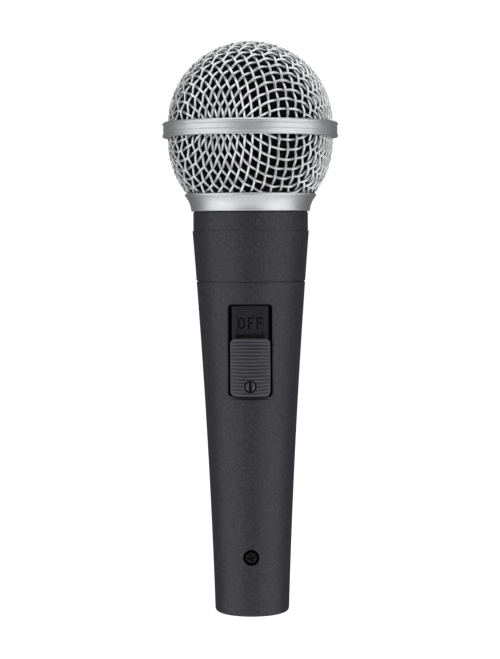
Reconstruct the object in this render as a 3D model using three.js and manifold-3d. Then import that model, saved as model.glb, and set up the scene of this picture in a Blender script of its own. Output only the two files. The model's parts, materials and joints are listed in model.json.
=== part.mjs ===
// A handheld dynamic microphone: ball grille, tapered handle, slide switch and three-pin base socket.
// Millimetres. +Z runs up the handle to the grille, -Y is the switch side, z = 0 is the base rim.
// The heights below are from the body's datum plane, which lies BASE_RIM above the rim.

import * as THREE from 'three';
import { mergeVertices } from 'three/addons/utils/BufferGeometryUtils.js';
import Module from 'manifold-3d';

const wasm = await Module();
wasm.setup();

// ---- Driving dimensions -------------------------------------------------------------------------

const OUTER_SEGMENTS = 36;            // facets round the outside pieces
const INNER_SEGMENTS = 20;            // facets round the inside pieces
const GAP = 0.3;                      // between pieces that rest on each other
const FIT = 0.15;                     // between small pieces of one mechanism

const BALL_RADIUS = 24;               // outside of the woven wire
const WIRE_CLOTH = 1.4;               // thickness of the woven wire cloth
const UPPER_CENTRE = 141.85;          // height of the upper hemisphere's centre
const LOWER_CENTRE = 136.8;           // height of the lower hemisphere's centre
const BAND_RADIUS = 25.5;
const BAND_BOTTOM = 137.75;
const BAND_TOP = 142.45;
const WEB_BOTTOM = 139.2;             // inner web of the band, between the rims of the two cloths
const WEB_TOP = 139.9;

const BASE_RIM = 0.5;                 // how far the rim lies below the datum plane
const BASE_RADIUS = 10.85;            // handle at the datum plane
const TAPER = 0.0312;                 // growth of the handle's radius per millimetre of height
const FLARE = 0.000214;               // second-order growth, which gives the handle its slight curve
const RIM_FILLET = 1.1;
const HANDLE_WALL = 2;
const HANDLE_TOP = 96.2;
const SLEEVE_BOTTOM = 96.6;
const SLEEVE_TOP = 111;
const SPIGOT_FOOT = 91.5;             // bottom of the sleeve's spigot, which plugs into the handle
const SPIGOT_RADIUS = 13.4;
const SPIGOT_BORE = 12.2;
const NECK_BOTTOM = 111.3;
const NECK_TOP = 116.35;
const NECK_RADIUS = 16.7;
const NECK_BORE = 14.6;
const TONGUE_FOOT = 104;              // bottom of the neck ring's tongue, which plugs into the sleeve
const TONGUE_RADIUS = 13.9;
const TONGUE_BORE = 12.8;
const COLLAR_BOTTOM = 116.65;
const COLLAR_LIP = 121.5;
const COLLAR_LIP_RADIUS = 19.1;
const COLLAR_FOOT_RADIUS = 17.3;
const COLLAR_SHELF = 120.7;           // inside the collar, under the rim of the lower cloth
const THREAD_RADIUS = 16;             // of the neck ring's thread
const THREAD_TOP = 121.2;

const SOCKET_RADIUS = 8.15;
const SOCKET_TOP = 26.3;
const INSERT_FACE = 14.2;
const PIN_RADIUS = 1.2;
const PIN_CIRCLE = 4.4;
const PIN_TIP = 3.6;
const SET_SCREW_HEIGHT = 16.85;
const SET_SCREW_RADIUS = 1.6;

const SWITCH_HEIGHT = 76.65;          // middle of the switch window
const WINDOW_WIDTH = 12.8;
const WINDOW_LENGTH = 26.65;
const WINDOW_CORNER = 1;
const SLIDER_WIDTH = 11.5;
const SLIDER_LENGTH = 16.5;
const SLIDER_CORNER = 1.5;
const SLIDER_MIDDLE = -4.7;           // along the window, from its middle
const SLIDER_PROUD = 0.9;             // its ends, above the handle's surface
const SLIDER_DISH = 0.6;              // its middle, below its ends
const SLIDER_BACK = -1.3;
const SLIDE_TRAVEL = 9.2;
const SLIDER_SCREW_Z = SLIDER_MIDDLE - SLIDER_LENGTH / 2 + 2.8;
const SLIDER_SCREW_HEAD = 1.68;
const POCKET_TOP = -0.6;              // under the slider, where the carriage is let in
const POCKET_MIDDLE = -7.75;
const PLATE_WIDTH = 10.3;
const PLATE_LENGTH = 25.6;
const PLATE_OFFSET = -0.35;
const RAIL_WIDTH = 1.3;
const SLOT_WIDTH = 2.9;               // the slot that the carriage's neck runs in
const SLOT_LENGTH = 12;
const SLOT_MIDDLE = -2.75;
const NECK_MIDDLE = SLOT_MIDDLE - SLIDE_TRAVEL / 2;

const CARTRIDGE_RADIUS = 14.8;
const COIL_RADIUS = 7.35;             // middle of the voice coil's winding
const DIAPHRAGM_SEAT = 129;
const TRANSFORMER_MIDDLE = 43;
const LEAD_RADIUS = 0.42;

// Outside radius of the handle at a height.
const handleRadius = (z) => BASE_RADIUS + TAPER * z + FLARE * z * z;
const handleSlope = (z) => Math.atan(TAPER + 2 * FLARE * z);

// ---- Materials ----------------------------------------------------------------------------------

const finish = (color, roughness, metalness) =>
  new THREE.MeshStandardMaterial({ color, roughness, metalness });

const coat = finish(0x3d3d42, 0.55, 0.2);
const blackCoat = finish(0x37373b, 0.5, 0.2);
const satin = finish(0xc9cacc, 0.35, 1);
const wire = finish(0xb9bbbd, 0.4, 1);
const foam = finish(0x111113, 0.95, 0);
const blackPlastic = finish(0x1a1a1c, 0.5, 0);
const greyPlastic = finish(0x4a4a4e, 0.5, 0);
const rubber = finish(0x161616, 0.9, 0);
const brass = finish(0xb08d45, 0.35, 1);
const silver = finish(0xc4c4c0, 0.3, 1);
const darkScrew = finish(0x2b2b2d, 0.4, 0.8);
const greyScrew = finish(0x4a4a4e, 0.5, 0.2);
const steel = finish(0x8d8f92, 0.4, 1);
const magnetFinish = finish(0x5b5d60, 0.35, 1);
const copper = finish(0xb06a3c, 0.4, 1);
const film = finish(0xd8c98e, 0.3, 0);
const felt = finish(0xb7b2a6, 0.95, 0);
const board = finish(0x5c4326, 0.6, 0);
const leadRed = finish(0x8e2323, 0.5, 0);
const leadYellow = finish(0xb79a2c, 0.5, 0);
const leadBlue = finish(0x2c4a86, 0.5, 0);

// ---- Solids -------------------------------------------------------------------------------------

function signedVolume(geometry) {
  const position = geometry.attributes.position;
  const index = geometry.index;
  const [a, b, c] = [new THREE.Vector3(), new THREE.Vector3(), new THREE.Vector3()];
  let volume = 0;
  for (let i = 0; i < index.count; i += 3) {
    a.fromBufferAttribute(position, index.getX(i));
    b.fromBufferAttribute(position, index.getX(i + 1));
    c.fromBufferAttribute(position, index.getX(i + 2));
    volume += a.dot(b.cross(c)) / 6;
  }
  return volume;
}

// Shared vertices joined, triangles of no area dropped and the faces turned outward.
function closed(geometry) {
  geometry.deleteAttribute('normal');
  geometry.deleteAttribute('uv');
  const merged = mergeVertices(geometry, 1e-4);
  const index = merged.index.array;
  const kept = [];
  for (let i = 0; i < index.length; i += 3) {
    const [a, b, c] = [index[i], index[i + 1], index[i + 2]];
    if (a !== b && b !== c && c !== a) kept.push(a, b, c);
  }
  merged.setIndex(kept);
  if (signedVolume(merged) < 0) merged.setIndex(kept.reverse());
  return merged;
}

function toManifold(geometry) {
  const solid = closed(geometry);
  return new wasm.Manifold(new wasm.Mesh({
    numProp: 3,
    vertProperties: new Float32Array(solid.attributes.position.array),
    triVerts: new Uint32Array(solid.index.array),
  }));
}

function fromManifold(solid) {
  const mesh = solid.getMesh();
  const geometry = new THREE.BufferGeometry();
  geometry.setAttribute('position', new THREE.BufferAttribute(mesh.vertProperties, 3));
  geometry.setIndex(new THREE.BufferAttribute(mesh.triVerts, 1));
  return geometry;
}

const cut = (body, ...tools) => fromManifold(
  tools.reduce((solid, tool) => solid.subtract(toManifold(tool)), toManifold(body)));
const join = (body, ...others) => fromManifold(
  others.reduce((solid, other) => solid.add(toManifold(other)), toManifold(body)));
const common = (body, tool) => fromManifold(toManifold(body).intersect(toManifold(tool)));

// A closed outline of [radius, height] points turned about Z.
function turned(points, segments = INNER_SEGMENTS) {
  const outline = [...points, points[0]].map(([r, z]) => new THREE.Vector2(r, z));
  return closed(new THREE.LatheGeometry(outline, segments).rotateX(Math.PI / 2));
}

// A plain ring or, with no inside radius, a disc.
function ring(outside, inside, bottom, top, segments = INNER_SEGMENTS) {
  if (inside > 0) {
    return turned([[inside, bottom], [outside, bottom], [outside, top], [inside, top]], segments);
  }
  return turned([[0, bottom], [outside, bottom], [outside, top], [0, top]], segments);
}

function block(lowX, highX, lowY, highY, lowZ, highZ) {
  return new THREE.BoxGeometry(highX - lowX, highY - lowY, highZ - lowZ)
    .translate((lowX + highX) / 2, (lowY + highY) / 2, (lowZ + highZ) / 2);
}

// A round bar along Y between two places.
function crossBar(radius, x, z, lowY, highY, segments = 16) {
  return new THREE.CylinderGeometry(radius, radius, highY - lowY, segments)
    .translate(x, (lowY + highY) / 2, z);
}

function roundedRectangle(width, height, radius, x = 0, y = 0) {
  const [left, bottom, right, top] = [x - width / 2, y - height / 2, x + width / 2, y + height / 2];
  const shape = new THREE.Shape();
  shape.moveTo(left + radius, bottom);
  shape.lineTo(right - radius, bottom);
  shape.absarc(right - radius, bottom + radius, radius, -Math.PI / 2, 0);
  shape.lineTo(right, top - radius);
  shape.absarc(right - radius, top - radius, radius, 0, Math.PI / 2);
  shape.lineTo(left + radius, top);
  shape.absarc(left + radius, top - radius, radius, Math.PI / 2, Math.PI);
  shape.lineTo(left, bottom + radius);
  shape.absarc(left + radius, bottom + radius, radius, Math.PI, 1.5 * Math.PI);
  return shape;
}

// Arc points on a circle about [0, centre], from one angle above the horizontal to another.
function arcPoints(radius, centre, fromDegrees, toDegrees, steps) {
  return Array.from({ length: steps + 1 }, (_, i) => {
    const angle = THREE.MathUtils.degToRad(fromDegrees + (toDegrees - fromDegrees) * i / steps);
    return [radius * Math.cos(angle), centre + radius * Math.sin(angle)];
  });
}

const microphone = new THREE.Group();
const datum = new THREE.Group();
datum.position.z = BASE_RIM;
microphone.add(datum);

function add(name, geometry, material, parent = datum) {
  const mesh = new THREE.Mesh(closed(geometry), material);
  mesh.name = name;
  parent.add(mesh);
}

// ---- The switch's own frame ---------------------------------------------------------------------
// X across, -Y outward from the handle's surface line, Z up the slope of the handle.

const switchFrame = new THREE.Group();
switchFrame.position.set(0, -handleRadius(SWITCH_HEIGHT), SWITCH_HEIGHT);
switchFrame.rotation.x = handleSlope(SWITCH_HEIGHT);
switchFrame.updateMatrix();
datum.add(switchFrame);

// A plate in the switch frame: an outline of [x, z], with its outer face and inner face as depths
// above (positive) or below (negative) the handle's surface line.
function switchPlate(shape, outerFace, innerFace, curveSegments = 3) {
  const thickness = outerFace - innerFace;
  return new THREE.ExtrudeGeometry(shape, { depth: thickness, bevelEnabled: false, curveSegments })
    .rotateX(Math.PI / 2)
    .translate(0, -innerFace, 0);
}

// ---- Handle -------------------------------------------------------------------------------------

function handleBody() {
  const taperSteps = 8;
  const filletTop = RIM_FILLET - BASE_RIM;
  const taper = Array.from({ length: taperSteps + 1 }, (_, i) => {
    const z = filletTop + (HANDLE_TOP - filletTop) * i / taperSteps;
    return [handleRadius(z), z];
  });
  const filletSide = handleRadius(filletTop) - RIM_FILLET;
  const fillet = [0, 1, 2].map((i) => {
    const angle = i * Math.PI / 6;
    return [filletSide + RIM_FILLET * Math.sin(angle), filletTop - RIM_FILLET * Math.cos(angle)];
  });
  const spigotBore = SPIGOT_RADIUS + GAP;
  const bore = [[spigotBore, HANDLE_TOP], [spigotBore, SPIGOT_FOOT - GAP]];
  for (const z of [90.9, 75, 60, 45, 30]) bore.push([handleRadius(z) - HANDLE_WALL, z]);
  bore.push([9.1, SOCKET_TOP], [SOCKET_RADIUS, SOCKET_TOP], [SOCKET_RADIUS, -BASE_RIM]);
  const shell = turned([...fillet, ...taper, ...bore], OUTER_SEGMENTS);

  const window = switchPlate(roundedRectangle(WINDOW_WIDTH, WINDOW_LENGTH, WINDOW_CORNER), 4, -6);
  window.applyMatrix4(switchFrame.matrix);
  const screwHole = crossBar(2.33, 0, SET_SCREW_HEIGHT, -14, -6, 20);
  const keyway = block(-1.5, 1.5, 7, SOCKET_RADIUS + 1.1, -1, 12.5);
  return cut(shell, window, screwHole, keyway);
}

function headSleeve() {
  const middle = (SLEEVE_BOTTOM + SLEEVE_TOP) / 2;
  const bore = TONGUE_RADIUS + GAP;
  const wall = SPIGOT_RADIUS - SPIGOT_BORE;
  return turned([
    [SPIGOT_BORE, SPIGOT_FOOT], [SPIGOT_RADIUS, SPIGOT_FOOT], [SPIGOT_RADIUS, SLEEVE_BOTTOM],
    [handleRadius(SLEEVE_BOTTOM), SLEEVE_BOTTOM], [handleRadius(middle), middle],
    [handleRadius(SLEEVE_TOP), SLEEVE_TOP], [bore, SLEEVE_TOP],
    [bore, SLEEVE_BOTTOM + 2 * wall], [SPIGOT_BORE, SLEEVE_BOTTOM + GAP],
  ], OUTER_SEGMENTS);
}

// The ring's tongue goes down into the sleeve, and its thread goes up into the grille collar.
function neckRing() {
  return turned([
    [TONGUE_BORE, TONGUE_FOOT], [TONGUE_RADIUS, TONGUE_FOOT], [TONGUE_RADIUS, NECK_BOTTOM],
    [NECK_RADIUS, NECK_BOTTOM], [NECK_RADIUS, NECK_TOP],
    [THREAD_RADIUS, NECK_TOP], [THREAD_RADIUS, THREAD_TOP],
    [NECK_BORE, THREAD_TOP], [NECK_BORE, NECK_BOTTOM + 3 * GAP], [TONGUE_BORE, NECK_BOTTOM],
  ], OUTER_SEGMENTS);
}

// ---- Grille -------------------------------------------------------------------------------------

function grilleCollar() {
  const flareSteps = 4;
  const lipEdge = 0.6;
  const height = COLLAR_LIP - lipEdge - COLLAR_BOTTOM;
  const reach = COLLAR_LIP_RADIUS - COLLAR_FOOT_RADIUS;
  const flare = Array.from({ length: flareSteps + 1 }, (_, i) => {
    const t = i / flareSteps;
    return [COLLAR_FOOT_RADIUS + reach * t * t, COLLAR_BOTTOM + height * t];
  });
  const bore = THREAD_RADIUS + GAP;
  return turned([
    [bore, COLLAR_BOTTOM], ...flare, [COLLAR_LIP_RADIUS, COLLAR_LIP], [COLLAR_LIP_RADIUS - GAP, COLLAR_LIP],
    [18.3, COLLAR_SHELF], [bore, COLLAR_SHELF],
  ], OUTER_SEGMENTS);
}

function upperGrilleMesh() {
  const rim = WEB_TOP + GAP;
  const inside = BALL_RADIUS - WIRE_CLOTH;
  return turned([
    [inside, rim], [BALL_RADIUS, rim],
    ...arcPoints(BALL_RADIUS, UPPER_CENTRE, 0, 90, 7),
    ...arcPoints(inside, UPPER_CENTRE, 90, 0, 7),
  ], OUTER_SEGMENTS);
}

function lowerGrilleMesh() {
  const rim = WEB_BOTTOM - GAP;
  const inside = BALL_RADIUS - WIRE_CLOTH;
  const collarAngle = -41.2;
  return turned([
    [BALL_RADIUS, rim], [inside, rim],
    ...arcPoints(inside, LOWER_CENTRE, 0, collarAngle, 5),
    ...arcPoints(BALL_RADIUS, LOWER_CENTRE, collarAngle, 0, 5),
  ], OUTER_SEGMENTS);
}

// Two thin flanges with a turned face between them, and an inner web that parts the two wire rims.
function grilleBand() {
  const face = BAND_RADIUS - 0.2;
  const bore = BALL_RADIUS + GAP;
  const web = 22.9;
  const lowerFlange = BAND_BOTTOM + 0.8;
  const upperFlange = BAND_TOP - 0.85;
  return turned([
    [bore, BAND_BOTTOM], [face, BAND_BOTTOM], [BAND_RADIUS, BAND_BOTTOM + 0.2],
    [BAND_RADIUS, lowerFlange], [face, lowerFlange + 0.15],
    [face, upperFlange - 0.15], [BAND_RADIUS, upperFlange], [BAND_RADIUS, BAND_TOP - 0.4],
    [bore, BAND_TOP], [bore, WEB_TOP], [web, WEB_TOP], [web, WEB_BOTTOM], [bore, WEB_BOTTOM],
  ], OUTER_SEGMENTS);
}

function foamLiner() {
  const outside = BALL_RADIUS - WIRE_CLOTH - GAP;
  const inside = outside - 3;
  const lowest = -39;
  return turned([
    ...arcPoints(outside, LOWER_CENTRE, lowest, 0, 4), ...arcPoints(outside, UPPER_CENTRE, 0, 90, 6),
    ...arcPoints(inside, UPPER_CENTRE, 90, 0, 6), ...arcPoints(inside, LOWER_CENTRE, 0, lowest, 4),
  ], INNER_SEGMENTS);
}

// ---- Cartridge ----------------------------------------------------------------------------------

function cartridgeHousing() {
  return turned([
    [9.7, 112], [10.9, 112], [10.9, 121.5], [CARTRIDGE_RADIUS, 121.9], [CARTRIDGE_RADIUS, 131.8],
    [13.9, 131.8], [13.9, 123.2], [9.7, 122.6],
  ]);
}

function shockMount() {
  return turned([
    [11.2, 112.5], [NECK_BORE - GAP, 112.5], [NECK_BORE - GAP, 119.5], [13.2, 120.4], [11.2, 120.4],
  ]);
}

// Round holes let sound through the cap to the diaphragm.
function resonatorCap() {
  const holes = Array.from({ length: 8 }, (_, i) => {
    const angle = i * Math.PI / 4;
    return new THREE.CylinderGeometry(1.5, 1.5, 6, 10).rotateX(Math.PI / 2)
      .translate(8.5 * Math.cos(angle), 8.5 * Math.sin(angle), 133.5);
  });
  const cap = turned([
    [12.4, 132.1], [CARTRIDGE_RADIUS, 132.1], [CARTRIDGE_RADIUS, 134], [13.8, 134.8], [0, 134.8],
    [0, 133.4], [12.4, 133.4],
  ]);
  return cut(cap, ...holes);
}

// A domed cap inside the coil and a shallow arched surround outside it.
function diaphragm() {
  const thickness = 0.25;
  const domeHeight = 2.4;
  const archHeight = 0.9;
  const archEnd = 12.4;
  const outline = [];
  for (const r of [0, 2.4, 4.8, 6.6]) {
    outline.push([r, DIAPHRAGM_SEAT + domeHeight * (1 - (r / COIL_RADIUS) ** 2)]);
  }
  outline.push([COIL_RADIUS, DIAPHRAGM_SEAT]);
  for (const r of [9, 10.6, archEnd]) {
    const t = (r - COIL_RADIUS) / (archEnd - COIL_RADIUS);
    outline.push([r, DIAPHRAGM_SEAT + archHeight * Math.sin(Math.PI * t)]);
  }
  outline.push([archEnd + GAP, DIAPHRAGM_SEAT]);
  const upper = outline.map(([r, z]) => [r, z + thickness]).reverse();
  return turned([...outline, ...upper]);
}

function voiceCoil() {
  return ring(COIL_RADIUS + 0.25, COIL_RADIUS - 0.25, 124.2, 128.85);
}

function magnetCup() {
  return turned([[0, 118], [9.4, 118], [9.4, 127], [8, 127], [8, 119.5], [0, 119.5]]);
}

function terminalBoard() {
  const lug = (x) => block(x - 0.6, x + 0.6, -0.3, 0.3, 109.2, 110.4);
  return join(ring(8.8, 0, 110, 111), lug(2.2), lug(-2.2));
}

function rearChamber() {
  return turned([[2.2, 97], [10.5, 97], [10.5, 108.8], [9.5, 108.8], [9.5, 98], [2.2, 98]]);
}

// ---- Base connector -----------------------------------------------------------------------------

const pinPlaces = [195, 345, 90].map((degrees) => {
  const angle = THREE.MathUtils.degToRad(degrees);
  return [PIN_CIRCLE * Math.cos(angle), PIN_CIRCLE * Math.sin(angle)];
});

function connectorInsert() {
  const radius = SOCKET_RADIUS - GAP;
  const barrel = turned([
    [0, INSERT_FACE], [radius, INSERT_FACE], [radius, 25.6], [radius - 0.7, 26.3], [0, 26.3],
  ], OUTER_SEGMENTS);
  const holes = pinPlaces.map(([x, y]) => new THREE.CylinderGeometry(
    PIN_RADIUS + FIT, PIN_RADIUS + FIT, 20, 12).rotateX(Math.PI / 2).translate(x, y, 20));
  const lugPocket = block(-2.3, 2.3, -10, -4.7, SET_SCREW_HEIGHT - 2.1, SET_SCREW_HEIGHT + 2.1);
  return cut(barrel, lugPocket, ...holes);
}

// A round-nosed contact with a solder cup at its inner end.
function contactPin([x, y]) {
  const cupTop = 30;
  return turned([
    [0, PIN_TIP], [0.7, PIN_TIP + 0.2], [PIN_RADIUS, PIN_TIP + 1], [PIN_RADIUS, cupTop], [0.7, cupTop],
    [0.7, cupTop - 2.2], [0, cupTop - 2.2],
  ], 12).translate(x, y, 0);
}

function retainingLug() {
  const lug = block(-2.1, 2.1, -7.4, -4.9, SET_SCREW_HEIGHT - 1.9, SET_SCREW_HEIGHT + 1.9);
  return cut(lug, crossBar(0.95, 0, SET_SCREW_HEIGHT, -9, -5.4, 12));
}

// A cross-slotted head that sits just under the handle's surface, with its shank in the lug.
function setScrew() {
  const head = crossBar(SET_SCREW_RADIUS, 0, SET_SCREW_HEIGHT, -10.9, -8.4, 20);
  const shank = crossBar(0.8, 0, SET_SCREW_HEIGHT, -8.6, -5.6, 12);
  const twist = THREE.MathUtils.degToRad(17);
  const slots = [0, Math.PI / 2].map((turn) => new THREE.BoxGeometry(0.5, 1.6, 2.6)
    .rotateY(turn + twist).translate(0, -10.9, SET_SCREW_HEIGHT));
  return cut(join(head, shank), ...slots);
}

// ---- Transformer --------------------------------------------------------------------------------

function transformerCore() {
  const middle = TRANSFORMER_MIDDLE;
  const windows = [-3.4, 3.4].map((x) => block(x - 1.6, x + 1.6, -4, 4, middle - 5.3, middle + 5.3));
  return cut(block(-7.2, 7.2, -2.5, 2.5, middle - 7.5, middle + 7.5), ...windows);
}

// A rectangular tube about the core's middle leg.
function legSleeve(halfX, halfY, holeX, holeY, halfZ, middle = TRANSFORMER_MIDDLE) {
  return cut(
    block(-halfX, halfX, -halfY, halfY, middle - halfZ, middle + halfZ),
    block(-holeX, holeX, -holeY, holeY, middle - halfZ - 1, middle + halfZ + 1));
}

function transformerBobbin() {
  const tube = legSleeve(2.5, 3.3, 1.95, 2.7, 5);
  const flanges = [-4.6, 4.6].map((dz) => legSleeve(4.8, 5.4, 1.95, 2.7, 0.4, TRANSFORMER_MIDDLE + dz));
  return join(tube, ...flanges);
}

// ---- Slide switch -------------------------------------------------------------------------------

// The slot for the carriage's neck, through the plate, the bracket and the case.
const neckSlot = () => switchPlate(roundedRectangle(SLOT_WIDTH, SLOT_LENGTH, 0.4, 0, SLOT_MIDDLE), 0, -6, 1);

function labelPlate() {
  const plate = switchPlate(roundedRectangle(PLATE_WIDTH, PLATE_LENGTH, 0.4, PLATE_OFFSET), -2.2, -3.2, 1);
  const rails = [-1, 1].map((side) => {
    const middle = PLATE_OFFSET + side * (PLATE_WIDTH - RAIL_WIDTH) / 2;
    return switchPlate(roundedRectangle(RAIL_WIDTH, PLATE_LENGTH, 0.3, middle), -1.6, -2.7, 1);
  });
  return cut(join(plate, ...rails), neckSlot());
}

function switchBracket() {
  return cut(switchPlate(roundedRectangle(11, 28.8, 1), -3.5, -4.3, 1), neckSlot());
}

function switchCase() {
  const shell = switchPlate(roundedRectangle(9, 21, 0.5, 0, -0.5), -4.6, -9.6, 1);
  const room = switchPlate(roundedRectangle(7.4, 18, 0.3, 0, -0.5), -5.4, -8.8, 1);
  return cut(shell, room, neckSlot());
}

// A contact lug under the switch case.
function switchTerminal(z) {
  return block(-0.7, 0.7, 9.75, 12, z - 0.4, z + 0.4);
}

function slideCarriage() {
  const top = switchPlate(roundedRectangle(6.4, 8.8, 0.4, 0, POCKET_MIDDLE), POCKET_TOP - FIT, -2, 1);
  const neck = block(-1.3, 1.3, 1, 6.9, NECK_MIDDLE - 1, NECK_MIDDLE + 1);
  const screwHole = crossBar(0.95, 0, SLIDER_SCREW_Z, -1, 3, 12);
  return cut(join(top, neck), screwHole);
}

function contactBridge() {
  return block(-2.6, 2.6, 7.05, 8.2, NECK_MIDDLE - 2, NECK_MIDDLE + 2);
}

// The thumb slider is round across, like the handle, and hollow along its length.
function thumbSlider() {
  const outline = roundedRectangle(SLIDER_WIDTH, SLIDER_LENGTH, SLIDER_CORNER, 0, SLIDER_MIDDLE);
  const blank = switchPlate(outline, 3, SLIDER_BACK);
  const axis = handleRadius(SWITCH_HEIGHT);
  const steps = 10;
  const waist = Array.from({ length: steps + 1 }, (_, i) => {
    const along = (2 * i / steps - 1) * (SLIDER_LENGTH / 2 + 1);
    const dip = SLIDER_DISH * (1 - (2 * along / SLIDER_LENGTH) ** 2);
    return [axis + SLIDER_PROUD - dip, SLIDER_MIDDLE + along];
  });
  const spool = turned([[0, waist[0][1]], ...waist, [0, waist[steps][1]]], 96).translate(0, axis, 0);
  const pocket = switchPlate(roundedRectangle(6.8, 9.2, 0.4, 0, POCKET_MIDDLE), POCKET_TOP, -2, 1);
  const screwHole = crossBar(0.95, 0, SLIDER_SCREW_Z, -2, 2, 12);
  const counterbore = crossBar(SLIDER_SCREW_HEAD + FIT, 0, SLIDER_SCREW_Z, -3, 0.1, 20);
  return cut(common(blank, spool), pocket, screwHole, counterbore);
}

function sliderScrew() {
  const head = crossBar(SLIDER_SCREW_HEAD, 0, SLIDER_SCREW_Z, -0.5, -0.05, 20);
  const shank = crossBar(0.8, 0, SLIDER_SCREW_Z, -0.1, 1.8, 12);
  const slot = block(-0.3, 0.3, -1, -0.25, SLIDER_SCREW_Z - 2, SLIDER_SCREW_Z + 2);
  return cut(join(head, shank), slot);
}

// ---- Internal leads -----------------------------------------------------------------------------

function lead(points) {
  const path = new THREE.CatmullRomCurve3(points.map(([x, y, z]) => new THREE.Vector3(x, y, z)));
  const section = new THREE.Shape();
  for (let i = 0; i < 6; i += 1) {
    const angle = i * Math.PI / 3;
    const corner = [LEAD_RADIUS * Math.cos(angle), LEAD_RADIUS * Math.sin(angle)];
    if (i === 0) section.moveTo(...corner);
    else section.lineTo(...corner);
  }
  return new THREE.ExtrudeGeometry(section, { steps: 12, extrudePath: path, bevelEnabled: false });
}

// ---- Assembly -----------------------------------------------------------------------------------

add('handle_body', handleBody(), coat);
add('head_sleeve', headSleeve(), blackCoat);
add('neck_ring', neckRing(), blackCoat);

add('grille_collar', grilleCollar(), satin);
add('lower_grille_mesh', lowerGrilleMesh(), wire);
add('grille_band', grilleBand(), satin);
add('upper_grille_mesh', upperGrilleMesh(), wire);
add('foam_liner', foamLiner(), foam);

add('shock_mount', shockMount(), rubber);
add('cartridge_housing', cartridgeHousing(), blackPlastic);
add('magnet_cup', magnetCup(), steel);
add('magnet', ring(6.4, 0, 119.8, 124.3), magnetFinish);
add('pole_piece', ring(6.7, 0, 124.6, 127), steel);
add('voice_coil', voiceCoil(), copper);
add('diaphragm', diaphragm(), film);
add('diaphragm_ring', ring(13.6, 13, 128.2, 130.2), brass);
add('resonator_cap', resonatorCap(), blackPlastic);
add('front_screen', ring(12.5, 0, 135.1, 135.5), felt);
add('felt_damper', ring(9.2, 3, 113.5, 114.5), felt);
add('terminal_board', terminalBoard(), board);
add('rear_chamber', rearChamber(), blackPlastic);
add('chamber_seal', ring(12.5, 10.8, 105, 108), rubber);

add('connector_insert', connectorInsert(), blackPlastic);
pinPlaces.forEach((place, i) => add(`contact_pin_${i + 1}`, contactPin(place), silver));
add('retaining_lug', retainingLug(), darkScrew);
add('set_screw', setScrew(), darkScrew);

add('transformer_cradle', ring(9.4, 6.3, 31.5, 34.8), blackPlastic);
add('transformer_core', transformerCore(), steel);
add('transformer_bobbin', transformerBobbin(), blackPlastic);
add('transformer_winding', legSleeve(4.6, 5.2, 2.8, 3.6, 4), copper);

add('switch_label_plate', labelPlate(), blackPlastic, switchFrame);
add('switch_bracket', switchBracket(), darkScrew, switchFrame);
add('switch_case', switchCase(), steel, switchFrame);
[-6, 0, 6].forEach((z, i) => add(`switch_terminal_${i + 1}`, switchTerminal(z), silver, switchFrame));
add('slide_carriage', slideCarriage(), blackPlastic, switchFrame);
add('contact_bridge', contactBridge(), brass, switchFrame);
add('thumb_slider', thumbSlider(), greyPlastic, switchFrame);
add('slider_screw', sliderScrew(), greyScrew, switchFrame);

const leadRoutes = {
  lead_pin_1: [[-4.25, -1.14, 30.6], [-3.9, -2.4, 33.8], [-6.1, -4.6, 38], [-6.2, -4.7, 46], [-4, -4, 56],
    [-1, -1.5, 68]],
  lead_pin_2: [[4.25, -1.14, 30.6], [2.8, -3.2, 34], [2.2, -6.2, 37.2], [2, -6.1, 41]],
  lead_pin_3: [[0, 4.4, 30.6], [1.2, 4.2, 33.6], [2.2, 6.2, 37.2], [2, 6.1, 41]],
  lead_transformer_switch: [[1.5, 6.1, 45], [2, 6.3, 53], [1.6, 2, 68], [0, -0.9, 76]],
  lead_switch_cartridge: [[0.8, 0.2, 108.8], [0.8, 0.2, 97], [1, 0.2, 90], [0, -1.4, 83]],
  lead_return: [[-0.8, 0, 108.8], [-0.8, 0, 97], [-2, 3, 84], [-3, 6.2, 60], [-2, 6.1, 46]],
};
const leadColours = [leadBlue, leadRed, leadYellow, leadRed, leadRed, leadYellow];
Object.entries(leadRoutes).forEach(([name, route], i) => add(name, lead(route), leadColours[i]));

export default microphone;
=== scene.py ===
"""A handheld dynamic microphone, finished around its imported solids.

Shapes are worked out in millimetres and written to Blender's meshes in metres.
"""

import json
import math

import bmesh
import bpy
from mathutils import Matrix, Vector


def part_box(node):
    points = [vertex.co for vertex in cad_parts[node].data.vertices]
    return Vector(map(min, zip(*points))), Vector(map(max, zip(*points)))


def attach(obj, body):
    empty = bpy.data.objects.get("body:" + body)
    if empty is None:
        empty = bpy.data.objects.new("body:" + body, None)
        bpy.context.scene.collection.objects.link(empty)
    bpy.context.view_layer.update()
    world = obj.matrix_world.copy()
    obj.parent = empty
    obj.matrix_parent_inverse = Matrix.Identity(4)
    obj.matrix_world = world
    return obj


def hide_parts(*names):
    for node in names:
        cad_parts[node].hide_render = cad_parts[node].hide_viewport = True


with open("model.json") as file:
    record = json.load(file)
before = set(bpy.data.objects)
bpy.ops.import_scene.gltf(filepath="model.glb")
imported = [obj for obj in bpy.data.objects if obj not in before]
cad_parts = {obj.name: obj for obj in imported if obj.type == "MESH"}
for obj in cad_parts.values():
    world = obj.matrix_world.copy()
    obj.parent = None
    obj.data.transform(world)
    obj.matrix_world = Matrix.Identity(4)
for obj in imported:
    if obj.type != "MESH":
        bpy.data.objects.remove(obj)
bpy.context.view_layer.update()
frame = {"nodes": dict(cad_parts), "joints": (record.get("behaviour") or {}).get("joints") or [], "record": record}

MM = 0.001
NODES = frame["nodes"]
DATUM = Vector((0, 0, 0.5))           # heights are from here, half a millimetre above the base's rim


def extent(node):
    """A solid's (lowest corner, highest corner), in millimetres from the datum."""
    low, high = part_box(node)
    return Vector(low) / MM - DATUM, Vector(high) / MM - DATUM


# ---- Sizes taken from the solids, in millimetres ---------------------------------------------------

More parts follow.
